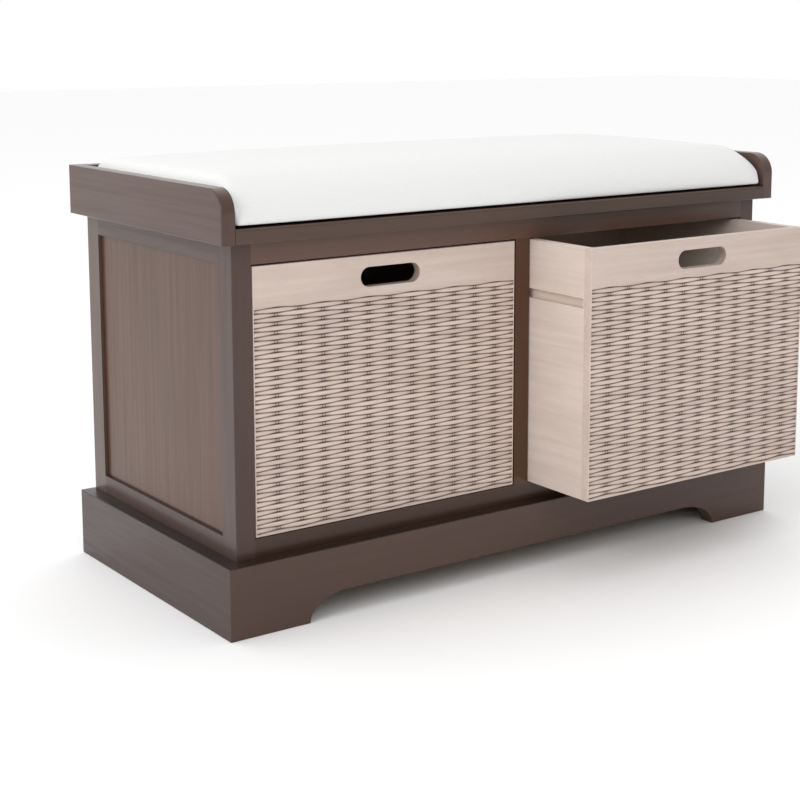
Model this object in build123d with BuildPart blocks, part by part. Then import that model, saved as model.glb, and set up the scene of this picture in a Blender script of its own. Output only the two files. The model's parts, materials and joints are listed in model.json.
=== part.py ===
"""Storage bench: plinth, framed carcass, seat with gallery rails, two drawers on wooden runners, cushion.

Frame: X right along the front, Y from front to back, Z up, millimetres.
The origin is on the floor, midway across the bench and midway between its front and its back.
At rest the left drawer is shut and the right drawer stands open.
"""

import os

from build123d import *

# ---- driving dimensions ----
WIDTH = 820.4  # over the plinth and over the gallery rails
DEPTH = 381.0  # plinth front to back rail
HEIGHT = 482.6  # floor to the top of the gallery rails
FRONT = -DEPTH / 2
BACK = DEPTH / 2

PLINTH_HEIGHT = 80.0
PLINTH_BOARD = 19.0
PLINTH_BACK = 184.5
FOOT_INSIDE = 311.0  # half the clear width between the two feet
FOOT_CURVE = 54.0  # length of the curve that ends each foot
FOOT_RISE = 29.7  # height of the cut-out under the plinth front

CASE_HALF = WIDTH / 2 - PLINTH_BOARD
CASE_FRONT = FRONT + PLINTH_BOARD
CASE_BACK = PLINTH_BACK
CASE_FOOT = 61.0  # underside of the posts and bottom rails, inside the plinth
SEAT_UNDER = 424.0
SEAT_BOARD = 16.5
SEAT_TOP = SEAT_UNDER + SEAT_BOARD
TOP_FRONT = -186.5
RAIL_CORNER = 26.0  # rounded front top corner of the end rails

OPENING_HALF = 368.0  # centre of the bench to the outer edge of a drawer opening
OPENING_LOW = 101.3
OPENING_HIGH = 400.0
STILE_HALF = 10.4
POST_DEPTH = 30.0
FACE_RAIL = 20.0  # thickness of the face-frame rails
REAR_RAIL = 28.0
SIDE_RAIL = 18.0
PANEL = 6.0
PANEL_RECESS = 4.0
TONGUE = 7.5
GROOVE = 8.0
BACK_PANEL_FACE = CASE_BACK - PANEL_RECESS - PANEL

BOTTOM_LOW = 85.0
BOTTOM_HIGH = 97.0

DRAWER_GAP = 1.6  # at each side of a drawer
DRAWER_LOW = 102.3
DRAWER_HIGH = 397.8
DRAWER_LENGTH = 335.0
DRAWER_BOARD = 12.0
DRAWER_OPEN = 109.0  # how far the right drawer stands out at rest
BASE_PANEL = 5.0
BASE_PANEL_LOW = 110.0
SLOT_LENGTH = 80.0
SLOT_HEIGHT = 22.0
SLOT_CENTRE = 373.7

TRACK_LOW = 328.0  # groove in the drawer side that rides on the runner
TRACK_HIGH = 339.5
TRACK_DEPTH = 6.4
TRACK_STOP = 13.7  # uncut length behind the drawer's face
RUNNER = 6.1  # how far a runner stands out of its post or partition
RUNNER_LOW = 328.6
RUNNER_HIGH = 339.1
RUNNER_FRONT = CASE_FRONT + 14.5
RUNNER_BACK = 170.0

PEG = 3.0  # dowel radius
PEG_LENGTH = 22.0
EASE = 1.0  # eased edges on show

CUSHION_HALF = 388.5
CUSHION_FRONT = -184.5
CUSHION_BACK = 169.0
CUSHION_LOW = SEAT_TOP + 3.1
CUSHION_TOP = 499.0

MIDDLE_OF_DRAWER = (OPENING_HALF + STILE_HALF) / 2
DRAWER_HALF = (OPENING_HALF - STILE_HALF) / 2 - DRAWER_GAP


# ---- helpers that work on the sub-part being built ----
def block(x, y, z, mode=Mode.ADD):
    """A rectangular block between two faces on each axis."""
    spans = [sorted(span) for span in (x, y, z)]
    with Locations(tuple((low + high) / 2 for low, high in spans)):
        Box(*(high - low for low, high in spans), mode=mode)


def cut(x, y, z):
    block(x, y, z, Mode.SUBTRACT)


def drill(points, direction, radius=PEG, depth=PEG_LENGTH / 2):
    """Holes centred on the points, running the depth both ways along the direction."""
    with Locations(*(Plane(origin=point, z_dir=direction) for point in points)):
        Hole(radius, depth)


def pegs(points, direction, radius=PEG, length=PEG_LENGTH):
    """Round dowels centred on the points."""
    with Locations(*(Plane(origin=point, z_dir=direction) for point in points)):
        Cylinder(radius, length)


def sink(points, direction, shank, head, depth):
    """Countersunk holes whose mouths are at the points; direction points out of the wood."""
    with Locations(*(Plane(origin=point, z_dir=direction) for point in points)):
        CounterSinkHole(shank, head, depth, counter_sink_angle=90)


def place(blank, points, direction):
    """Copies of a blank, its own +Z turned to the direction."""
    with Locations(*(Plane(origin=point, z_dir=direction) for point in points)):
        add(blank)


def ease(edges, size=EASE):
    fillet(edges, size)


def save(piece, name):
    piece.part.label = name
    export_step(piece.part, f"parts/{name}.step")


def screw_blank(shank, head, length):
    """A countersunk wood screw pointing down from its head, which is flush at the origin."""
    neck = head - shank
    tip = 2.5 * shank
    with BuildPart() as screw:
        with BuildSketch(Plane.XZ):
            with BuildLine():
                Polyline(
                    (0, 0),
                    (head, 0),
                    (shank, -neck),
                    (shank, tip - length),
                    (0, -length),
                    close=True,
                )
            make_face()
        revolve(axis=Axis.Z)
    return screw.part


os.makedirs("parts", exist_ok=True)

# ---- joint positions shared by the pieces on both sides of a joint ----
TOP_PEG_Z = (SEAT_UNDER - 8,)
LOW_PEG_Z = (CASE_FOOT + 7, CASE_FOOT + 23)
FACE_Y = CASE_FRONT + FACE_RAIL / 2
REAR_PEG_Y = CASE_BACK - 13.5
REAR_SCREW_Y = CASE_BACK - 19.5
SIDE_X = CASE_HALF - SIDE_RAIL / 2
POST_REAR_EDGE = CASE_FRONT + POST_DEPTH
REAR_POST_EDGE = CASE_BACK - POST_DEPTH

cross_pegs = [
    (side * OPENING_HALF, y, z)
    for side in (-1, 1)
    for y in (FACE_Y, REAR_PEG_Y)
    for z in TOP_PEG_Z + LOW_PEG_Z
]
side_pegs = [
    (side * SIDE_X, y, z)
    for side in (-1, 1)
    for y in (POST_REAR_EDGE, REAR_POST_EDGE)
    for z in TOP_PEG_Z + LOW_PEG_Z
]
stile_pegs = [(0, FACE_Y, OPENING_LOW), (0, FACE_Y, OPENING_HIGH)]

SEAT_SCREW = (2.0, 3.8, 36.0)
END_SCREW_X = CASE_HALF - SIDE_RAIL + 4
seat_screw_points = [
    (x, y, OPENING_HIGH) for x in (-300, -100, 100, 300) for y in (FACE_Y, REAR_SCREW_Y)
] + [(side * END_SCREW_X, 0, OPENING_HIGH) for side in (-1, 1)]

LEDGER_LOW = CASE_FOOT - 18
BASE_SCREW = (2.0, 4.2, 40.0)
base_screw_points = [(x, FACE_Y, LEDGER_LOW) for x in (-300, 0, 300)] + [
    (side * SIDE_X, y, LEDGER_LOW) for side in (-1, 1) for y in (-60, 100)
]

RUNNER_SCREW = (1.75, 3.5, 15.5)
runner_screw_y = (-100, 10, 120)

gallery_z = SEAT_UNDER + SEAT_BOARD / 2
END_FACE = WIDTH / 2 - SEAT_BOARD
BACK_FACE = BACK - SEAT_BOARD
end_pegs = [(side * END_FACE, y, gallery_z) for side in (-1, 1) for y in (-150, -50, 50, 140)]
back_pegs = [(x, BACK_FACE, gallery_z) for x in (-350, -200, 0, 200, 350)]
corner_pegs = [
    (side * END_FACE, BACK - SEAT_BOARD / 2, z) for side in (-1, 1) for z in (448, 468)
]


# ---- plinth ----
with BuildPart() as plinth_front:
    with BuildSketch():
        with BuildLine():
            Polyline(
                (-WIDTH / 2, FRONT),
                (WIDTH / 2, FRONT),
                (CASE_HALF, CASE_FRONT),
                (-CASE_HALF, CASE_FRONT),
                close=True,
            )
        make_face()
    extrude(amount=PLINTH_HEIGHT)
    ease(plinth_front.edges().filter_by(Axis.X).group_by(Axis.Z)[-1].sort_by(Axis.Y)[0])
    with BuildSketch(Plane.XZ.offset(-CASE_FRONT)):
        with BuildLine():
            curve_end = FOOT_INSIDE - FOOT_CURVE
            EllipticalCenterArc((-curve_end, 0), FOOT_CURVE, FOOT_RISE, 90, arc_size=90)
            Line((-curve_end, FOOT_RISE), (curve_end, FOOT_RISE))
            EllipticalCenterArc((curve_end, 0), FOOT_CURVE, FOOT_RISE, 0, arc_size=90)
            Line((FOOT_INSIDE, 0), (-FOOT_INSIDE, 0))
        make_face()
    extrude(amount=PLINTH_BOARD, mode=Mode.SUBTRACT)
save(plinth_front, "plinth_front")


def plinth_side(side):
    """An end board of the plinth, mitred to the plinth front."""
    with BuildPart() as board:
        with BuildSketch():
            with BuildLine():
                Polyline(
                    (side * WIDTH / 2, FRONT),
                    (side * WIDTH / 2, PLINTH_BACK),
                    (side * CASE_HALF, PLINTH_BACK),
                    (side * CASE_HALF, CASE_FRONT),
                    close=True,
                )
            make_face()
        extrude(amount=PLINTH_HEIGHT)
        outer = board.edges().filter_by(Axis.Y).group_by(Axis.Z)[-1].sort_by(Axis.X)
        ease(outer[0 if side < 0 else -1])
    return board


with BuildPart() as plinth_back:
    block((-CASE_HALF, CASE_HALF), (PLINTH_BACK - PLINTH_BOARD, PLINTH_BACK), (0, CASE_FOOT))
save(plinth_back, "plinth_back")

INNER_BACK = PLINTH_BACK - PLINTH_BOARD
BLOCK_LEG = 32.0
with BuildPart() as plinth_corner_blocks:
    with BuildSketch():
        for side in (-1, 1):
            for wall, inward in ((CASE_FRONT, 1), (INNER_BACK, -1)):
                with BuildLine():
                    Polyline(
                        (side * CASE_HALF, wall),
                        (side * (CASE_HALF - BLOCK_LEG), wall),
                        (side * CASE_HALF, wall + inward * BLOCK_LEG),
                        close=True,
                    )
                make_face()
    extrude(amount=LEDGER_LOW)
save(plinth_corner_blocks, "plinth_corner_blocks")

LEDGER = 18.0
with BuildPart() as plinth_ledgers:
    block((-CASE_HALF, CASE_HALF), (CASE_FRONT, CASE_FRONT + LEDGER), (LEDGER_LOW, CASE_FOOT))
    for side in (-1, 1):
        block(
            (side * (CASE_HALF - LEDGER), side * CASE_HALF),
            (CASE_FRONT + LEDGER + 1, INNER_BACK),
            (LEDGER_LOW, CASE_FOOT),
        )
    sink(base_screw_points, (0, 0, -1), BASE_SCREW[0], BASE_SCREW[1], LEDGER + 1)
save(plinth_ledgers, "plinth_ledgers")

FOOT_HALF = 30.0
with BuildPart() as centre_foot:
    block((-FOOT_HALF, FOOT_HALF), (-FOOT_HALF, FOOT_HALF), (0, BOTTOM_LOW))
    ease(centre_foot.edges().group_by(Axis.Z)[0], 2)
save(centre_foot, "centre_foot")

with BuildPart() as base_screws:
    place(screw_blank(*BASE_SCREW), base_screw_points, (0, 0, -1))
save(base_screws, "base_screws")


# ---- carcass frame ----
def post(side, rear):
    """A corner post, grooved for the side panel and the back panel."""
    y = (REAR_POST_EDGE, CASE_BACK) if rear else (CASE_FRONT, POST_REAR_EDGE)
    outer = side * CASE_HALF
    panel_x = (outer - side * PANEL_RECESS, outer - side * (PANEL_RECESS + PANEL))
    panel_z = (OPENING_LOW - TONGUE, OPENING_HIGH + TONGUE)
    with BuildPart() as corner:
        block((side * OPENING_HALF, outer), y, (CASE_FOOT, SEAT_UNDER))
        upright = corner.edges().filter_by(Axis.Z).sort_by(SortBy.DISTANCE)
        ease(upright[-1])
        if rear:
            cut(panel_x, (REAR_POST_EDGE, REAR_POST_EDGE + GROOVE), panel_z)
            back_x = (side * OPENING_HALF, side * (OPENING_HALF + GROOVE))
            cut(back_x, (BACK_PANEL_FACE, BACK_PANEL_FACE + PANEL), panel_z)
        else:
            cut(panel_x, (POST_REAR_EDGE - GROOVE, POST_REAR_EDGE), panel_z)
        drill([p for p in cross_pegs if p[0] * side > 0 and (p[1] > 0) == rear], (1, 0, 0))
        drill([p for p in side_pegs if p[0] * side > 0 and (p[1] > 0) == rear], (0, 1, 0))
    return corner


def cross_rail(z, rear):
    """A rail along X between two posts, at the front or the back."""
    y = (CASE_BACK - REAR_RAIL, CASE_BACK) if rear else (CASE_FRONT, CASE_FRONT + FACE_RAIL)
    top = z[1] == SEAT_UNDER
    heights = TOP_PEG_Z if top else LOW_PEG_Z
    with BuildPart() as rail:
        block((-OPENING_HALF, OPENING_HALF), y, z)
        if rear:
            edge = (OPENING_HIGH, OPENING_HIGH + GROOVE) if top else (OPENING_LOW - GROOVE, OPENING_LOW)
            cut((-OPENING_HALF, OPENING_HALF), (BACK_PANEL_FACE, BACK_PANEL_FACE + PANEL), edge)
        drill([p for p in cross_pegs if (p[1] > 0) == rear and p[2] in heights], (1, 0, 0))
        if top:
            shank, head, _ = SEAT_SCREW
            own = [p for p in seat_screw_points if (p[1] > 0) == rear and p[1] != 0]
            sink(own, (0, 0, -1), shank, head, z[1] - z[0] + 1)
        elif not rear:
            drill([p for p in base_screw_points if p[1] == FACE_Y], (0, 0, 1), BASE_SCREW[0], BASE_SCREW[2])
        if not rear:
            drill([stile_pegs[1 if top else 0]], (0, 0, 1))
    return rail


def side_rail(side, z):
    """A rail along Y between a front and a rear post, grooved for the side panel."""
    top = z[1] == SEAT_UNDER
    heights = TOP_PEG_Z if top else LOW_PEG_Z
    outer = side * CASE_HALF
    y = (POST_REAR_EDGE, REAR_POST_EDGE)
    panel_x = (outer - side * PANEL_RECESS, outer - side * (PANEL_RECESS + PANEL))
    edge = (OPENING_HIGH, OPENING_HIGH + GROOVE) if top else (OPENING_LOW - GROOVE, OPENING_LOW)
    with BuildPart() as rail:
        block((outer, outer - side * SIDE_RAIL), y, z)
        cut(panel_x, y, edge)
        drill([p for p in side_pegs if p[0] * side > 0 and p[2] in heights], (0, 1, 0))
        if top:
            shank, head, _ = SEAT_SCREW
            own = [p for p in seat_screw_points if p[0] == side * END_SCREW_X]
            sink(own, (0, 0, -1), shank, head, z[1] - z[0] + 1)
        else:
            own = [p for p in base_screw_points if p[0] == side * SIDE_X]
            drill(own, (0, 0, 1), BASE_SCREW[0], BASE_SCREW[2])
    return rail


def side_panel(side):
    """The thin recessed panel of an end, held in grooves all round."""
    outer = side * (CASE_HALF - PANEL_RECESS)
    with BuildPart() as panel:
        block(
            (outer, outer - side * PANEL),
            (POST_REAR_EDGE - TONGUE, REAR_POST_EDGE + TONGUE),
            (OPENING_LOW - TONGUE, OPENING_HIGH + TONGUE),
        )
    return panel


TOP_RAIL = (OPENING_HIGH, SEAT_UNDER)
BOTTOM_RAIL = (CASE_FOOT, OPENING_LOW)
for side, hand in ((-1, "left"), (1, "right")):
    save(plinth_side(side), f"plinth_{hand}")
    save(post(side, rear=False), f"front_{hand}_post")
    save(post(side, rear=True), f"rear_{hand}_post")
    save(side_rail(side, TOP_RAIL), f"{hand}_side_top_rail")
    save(side_rail(side, BOTTOM_RAIL), f"{hand}_side_bottom_rail")
    save(side_panel(side), f"{hand}_side_panel")
for rear, name in ((False, "front"), (True, "back")):
    save(cross_rail(TOP_RAIL, rear), f"{name}_top_rail")
    save(cross_rail(BOTTOM_RAIL, rear), f"{name}_bottom_rail")

with BuildPart() as centre_stile:
    face_y = (CASE_FRONT, CASE_FRONT + FACE_RAIL)
    block((-STILE_HALF, STILE_HALF), face_y, (OPENING_LOW, OPENING_HIGH))
    drill(stile_pegs, (0, 0, 1))
save(centre_stile, "centre_stile")

with BuildPart() as back_panel:
    block(
        (-OPENING_HALF - TONGUE, OPENING_HALF + TONGUE),
        (BACK_PANEL_FACE, BACK_PANEL_FACE + PANEL),
        (OPENING_LOW - TONGUE, OPENING_HIGH + TONGUE),
    )
save(back_panel, "back_panel")

INNER_Y = (CASE_FRONT + FACE_RAIL, CASE_BACK - REAR_RAIL)
with BuildPart() as bottom_board:
    block((-OPENING_HALF, OPENING_HALF), INNER_Y, (BOTTOM_LOW, BOTTOM_HIGH))
save(bottom_board, "bottom_board")

CLEAT = 18.0
with BuildPart() as bottom_cleats:
    cleat_z = (BOTTOM_LOW - CLEAT, BOTTOM_LOW)
    inner_x = CASE_HALF - SIDE_RAIL
    for y in ((INNER_Y[0], INNER_Y[0] + CLEAT), (INNER_Y[1] - CLEAT, INNER_Y[1])):
        block((-OPENING_HALF, OPENING_HALF), y, cleat_z)
    for side in (-1, 1):
        cleat_x = (side * inner_x, side * (OPENING_HALF - CLEAT))
        block(cleat_x, (-120, 130), cleat_z)
save(bottom_cleats, "bottom_cleats")

with BuildPart() as centre_partition:
    partition_x = (-STILE_HALF, STILE_HALF)
    block(partition_x, INNER_Y, (BOTTOM_HIGH, OPENING_HIGH))
    block(partition_x, (INNER_Y[1], BACK_PANEL_FACE), (OPENING_LOW, OPENING_HIGH))
    for side in (-1, 1):
        mouths = [(side * STILE_HALF, y, (RUNNER_LOW + RUNNER_HIGH) / 2) for y in runner_screw_y]
        drill(mouths, (1, 0, 0), RUNNER_SCREW[0], RUNNER_SCREW[2] - RUNNER + 0.3)
save(centre_partition, "centre_partition")

with BuildPart() as seat_bearer:
    block((-STILE_HALF, STILE_HALF), INNER_Y, TOP_RAIL)
save(seat_bearer, "seat_bearer")

with BuildPart() as frame_dowels:
    pegs(cross_pegs, (1, 0, 0))
    pegs(side_pegs, (0, 1, 0))
    pegs(stile_pegs, (0, 0, 1))
save(frame_dowels, "frame_dowels")

# ---- drawer runners ----
RUNNER_Z = (RUNNER_LOW + RUNNER_HIGH) / 2
# wall the runner is fixed to, and the way it stands out of that wall
runner_walls = {
    "left_outer": (-OPENING_HALF, 1),
    "left_inner": (-STILE_HALF, -1),
    "right_inner": (STILE_HALF, 1),
    "right_outer": (OPENING_HALF, -1),
}
for name, (wall, out) in runner_walls.items():
    face = wall + out * RUNNER
    heads = [(face, y, RUNNER_Z) for y in runner_screw_y]
    with BuildPart() as runner:
        block((wall, face), (RUNNER_FRONT, RUNNER_BACK), (RUNNER_LOW, RUNNER_HIGH))
        ease(runner.edges().filter_by(Axis.Z).group_by(Axis.Y)[0], 2)
        sink(heads, (out, 0, 0), RUNNER_SCREW[0], RUNNER_SCREW[1], RUNNER + 1)
    save(runner, f"{name}_runner")

PACKER_HALF = 15.0
for side, hand in ((-1, "left"), (1, "right")):
    with BuildPart() as packer:
        inner = side * (CASE_HALF - PANEL_RECESS - PANEL)
        block(
            (side * OPENING_HALF, inner),
            (POST_REAR_EDGE, REAR_POST_EDGE),
            (RUNNER_Z - PACKER_HALF, RUNNER_Z + PACKER_HALF),
        )
        mouths = [(side * OPENING_HALF, y, RUNNER_Z) for y in runner_screw_y]
        drill(mouths, (1, 0, 0), RUNNER_SCREW[0], RUNNER_SCREW[2] - RUNNER + 0.3)
    save(packer, f"{hand}_runner_packer")

with BuildPart() as runner_screws:
    for wall, out in runner_walls.values():
        heads = [(wall + out * RUNNER, y, RUNNER_Z) for y in runner_screw_y]
        place(screw_blank(*RUNNER_SCREW), heads, (out, 0, 0))
save(runner_screws, "runner_screws")

STOP_BLOCK_Y = (-91.5, -71.5)
STOP_BLOCK_LOW = 386.0
with BuildPart() as drawer_stop_blocks:
    for side in (-1, 1):
        middle = side * MIDDLE_OF_DRAWER
        block((middle - 20, middle + 20), STOP_BLOCK_Y, (STOP_BLOCK_LOW, SEAT_UNDER))
save(drawer_stop_blocks, "drawer_stop_blocks")

# ---- seat and gallery rails ----
with BuildPart() as seat_board:
    block((-END_FACE, END_FACE), (TOP_FRONT, BACK_FACE), (SEAT_UNDER, SEAT_TOP))
    front_edges = seat_board.edges().filter_by(Axis.X).group_by(Axis.Y)[0].sort_by(Axis.Z)
    ease(front_edges[-1], 3)
    ease(seat_board.edges().filter_by(Axis.X).group_by(Axis.Y)[0].sort_by(Axis.Z)[0])
    drill([(x, y, SEAT_UNDER) for x, y, _ in seat_screw_points], (0, 0, 1), SEAT_SCREW[0], 12.5)
    drill(end_pegs, (1, 0, 0))
    drill(back_pegs, (0, 1, 0))
save(seat_board, "seat_board")


def end_rail(side):
    """A gallery rail along one end of the seat, its front top corner rounded."""
    with BuildPart() as rail:
        block(
            (side * END_FACE, side * WIDTH / 2),
            (TOP_FRONT, BACK),
            (SEAT_UNDER, HEIGHT),
        )
        front_top = rail.edges().filter_by(Axis.X).group_by(Axis.Y)[0].sort_by(Axis.Z)[-1]
        fillet(front_top, RAIL_CORNER)
        outer_face = rail.faces().sort_by(Axis.X)[0 if side < 0 else -1]
        ease(outer_face.edges(), 1.5)
        inner_top = rail.faces().sort_by(Axis.X)[-1 if side < 0 else 0]
        ease(inner_top.edges().filter_by(Axis.Y).sort_by(Axis.Z)[-1])
        drill([p for p in end_pegs + corner_pegs if p[0] * side > 0], (1, 0, 0))
    return rail


save(end_rail(-1), "left_gallery_rail")
save(end_rail(1), "right_gallery_rail")

with BuildPart() as back_gallery_rail:
    block((-END_FACE, END_FACE), (BACK_FACE, BACK), (SEAT_UNDER, HEIGHT))
    ease(back_gallery_rail.edges().filter_by(Axis.X).group_by(Axis.Z)[-1])
    drill(corner_pegs, (1, 0, 0))
    drill(back_pegs, (0, 1, 0))
save(back_gallery_rail, "back_gallery_rail")

with BuildPart() as gallery_dowels:
    pegs(end_pegs + corner_pegs, (1, 0, 0))
    pegs(back_pegs, (0, 1, 0))
save(gallery_dowels, "gallery_dowels")

with BuildPart() as seat_screws:
    place(screw_blank(*SEAT_SCREW), seat_screw_points, (0, 0, -1))
save(seat_screws, "seat_screws")


# ---- drawers ----
def drawer(hand, middle, face):
    """The pieces of one drawer box, its front face at y = face."""
    inner_face = face + DRAWER_BOARD
    end = face + DRAWER_LENGTH
    inner_end = end - DRAWER_BOARD
    side_z = (DRAWER_LOW, DRAWER_HIGH)
    peg_heights = (150, 250, 365)
    walls = {"left": (middle - DRAWER_HALF, 1), "right": (middle + DRAWER_HALF, -1)}
    front_pegs, back_pegs_here = [], []
    for wall, inward in walls.values():
        peg_x = wall + inward * DRAWER_BOARD / 2
        front_pegs += [(peg_x, inner_face, z) for z in peg_heights]
        back_x = wall + inward * DRAWER_BOARD
        back_pegs_here += [(back_x, end - DRAWER_BOARD / 2, z) for z in peg_heights]
    panel_x = (middle - DRAWER_HALF + DRAWER_BOARD - 5.5, middle + DRAWER_HALF - DRAWER_BOARD + 5.5)
    panel_y = (inner_face - 5.5, inner_end + 5.5)
    panel_z = (BASE_PANEL_LOW, BASE_PANEL_LOW + BASE_PANEL)

    with BuildPart() as front:
        block((middle - DRAWER_HALF, middle + DRAWER_HALF), (face, inner_face), side_z)
        ease(front.faces().sort_by(Axis.Y)[0].edges())
        with BuildSketch(Plane.XZ.offset(-inner_face)) as slot:
            with Locations((middle, SLOT_CENTRE)):
                SlotOverall(SLOT_LENGTH, SLOT_HEIGHT)
        extrude(slot.sketch, amount=DRAWER_BOARD, mode=Mode.SUBTRACT)
        cut(panel_x, (inner_face - 6, inner_face), panel_z)
        drill(front_pegs, (0, 1, 0), PEG, 8)
    save(front, f"{hand}_drawer_front")

    for which, (wall, inward) in walls.items():
        inner = wall + inward * DRAWER_BOARD
        with BuildPart() as board:
            block((wall, inner), (inner_face, end), side_z)
            cut((wall, wall + inward * TRACK_DEPTH), (face + TRACK_STOP, end), (TRACK_LOW, TRACK_HIGH))
            cut((inner, inner - inward * 6), (inner_face, inner_end + 6), panel_z)
            drill([p for p in front_pegs if abs(p[0] - wall) < DRAWER_BOARD], (0, 1, 0), PEG, 14)
            drill([p for p in back_pegs_here if abs(p[0] - inner) < 1], (1, 0, 0), PEG, 8)
        save(board, f"{hand}_drawer_{which}_side")

    with BuildPart() as back:
        across = (middle - DRAWER_HALF + DRAWER_BOARD, middle + DRAWER_HALF - DRAWER_BOARD)
        block(across, (inner_end, end), side_z)
        cut(across, (inner_end, inner_end + 6), panel_z)
        drill(back_pegs_here, (1, 0, 0), PEG, 14)
    save(back, f"{hand}_drawer_back")

    with BuildPart() as base:
        block(panel_x, panel_y, panel_z)
    save(base, f"{hand}_drawer_bottom")

    with BuildPart() as dowels:
        shifted_front = [(x, y + 3, z) for x, y, z in front_pegs]
        pegs(shifted_front, (0, 1, 0))
        for wall, inward in walls.values():
            inner = wall + inward * DRAWER_BOARD
            own = [(x + inward * 3, y, z) for x, y, z in back_pegs_here if abs(x - inner) < 1]
            pegs(own, (1, 0, 0))
    save(dowels, f"{hand}_drawer_dowels")


drawer("left", -MIDDLE_OF_DRAWER, CASE_FRONT)
drawer("right", MIDDLE_OF_DRAWER, CASE_FRONT - DRAWER_OPEN)

# ---- cushion ----
BOARD_INSET = 9.0
COVER = 0.6
STRIP = 1.4
BASE_BOARD = 9.0
board_x = (-CUSHION_HALF + BOARD_INSET, CUSHION_HALF - BOARD_INSET)
board_y = (CUSHION_FRONT + BOARD_INSET, CUSHION_BACK - BOARD_INSET)
board_z = (CUSHION_LOW + COVER, CUSHION_LOW + COVER + BASE_BOARD)

with BuildPart() as cushion_pad:
    block((-CUSHION_HALF, CUSHION_HALF), (CUSHION_FRONT, CUSHION_BACK), (CUSHION_LOW, CUSHION_TOP))
    fillet(cushion_pad.edges().filter_by(Axis.Z), 20)
    fillet(cushion_pad.edges().group_by(Axis.Z)[-1], 19)
    fillet(cushion_pad.edges().group_by(Axis.Z)[0], 4)
    cut(board_x, board_y, (CUSHION_LOW, board_z[1]))
save(cushion_pad, "cushion_pad")

with BuildPart() as cushion_base_board:
    block(board_x, board_y, board_z)
save(cushion_base_board, "cushion_base_board")

with BuildPart() as cushion_dust_cover:
    block(board_x, board_y, (CUSHION_LOW, board_z[0]))
save(cushion_dust_cover, "cushion_dust_cover")

strip_centres = [(x, y) for x in (-250, 250) for y in (-110, 105)]
for name, low in (("seat_hook_strips", SEAT_TOP), ("cushion_loop_strips", CUSHION_LOW - STRIP)):
    with BuildPart() as strips:
        for x, y in strip_centres:
            block((x - 60, x + 60), (y - 12.5, y + 12.5), (low, low + STRIP))
    save(strips, name)
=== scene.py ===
"""Looks for the storage bench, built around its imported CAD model. Metres, in the CAD's frame.

The carcass, drawer boxes and hardware are the CAD nodes with procedural finishes.
The two drawer fronts are rebuilt with their carved basket weave, and the cushion is swelled by a
cloth simulation.
"""

import json
import math

import bpy
import numpy as np
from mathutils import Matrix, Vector
from mathutils.geometry import tessellate_polygon


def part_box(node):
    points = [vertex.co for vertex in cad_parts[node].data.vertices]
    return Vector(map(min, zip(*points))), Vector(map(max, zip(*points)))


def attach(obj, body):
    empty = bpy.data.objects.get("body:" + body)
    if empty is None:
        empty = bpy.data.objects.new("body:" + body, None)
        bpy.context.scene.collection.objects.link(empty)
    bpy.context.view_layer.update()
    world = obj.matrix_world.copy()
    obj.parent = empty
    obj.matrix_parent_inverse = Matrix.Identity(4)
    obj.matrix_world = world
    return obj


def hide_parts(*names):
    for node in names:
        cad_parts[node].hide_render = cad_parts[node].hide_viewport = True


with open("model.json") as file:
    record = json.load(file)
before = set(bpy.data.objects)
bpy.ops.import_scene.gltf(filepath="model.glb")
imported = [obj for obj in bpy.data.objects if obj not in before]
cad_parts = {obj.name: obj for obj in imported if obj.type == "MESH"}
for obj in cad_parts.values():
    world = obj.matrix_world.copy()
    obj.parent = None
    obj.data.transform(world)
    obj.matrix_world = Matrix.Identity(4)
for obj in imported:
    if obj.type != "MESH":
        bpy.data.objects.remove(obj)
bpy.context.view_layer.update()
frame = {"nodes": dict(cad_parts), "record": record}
scene = bpy.context.scene
MM = 0.001

# ---- camera ----
FRAME_PX = 800
FOCAL_PX = 1626.6
CENTRE_PX = (425.0, 278.0)
CAMERA_AT = (-1.21014, -1.64604, 0.64805)
YAW, PITCH = math.radians(35.91), math.radians(-8.82)

camera = bpy.data.objects.new("camera", bpy.data.cameras.new("camera"))
scene.collection.objects.link(camera)
camera.data.sensor_width = 36.0
camera.data.lens = FOCAL_PX / FRAME_PX * camera.data.sensor_width
camera.data.shift_x = (FRAME_PX / 2 - CENTRE_PX[0]) / FRAME_PX
camera.data.shift_y = (CENTRE_PX[1] - FRAME_PX / 2) / FRAME_PX
camera.data.clip_start, camera.data.clip_end = 0.05, 60
looking = Vector(
    (math.sin(YAW) * math.cos(PITCH), math.cos(YAW) * math.cos(PITCH), math.sin(PITCH))
)
camera.location = CAMERA_AT
camera.rotation_mode = "QUATERNION"
camera.rotation_quaternion = looking.to_track_quat("-Z", "Y")
scene.camera = camera
scene.view_settings.view_transform = "Standard"


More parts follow.
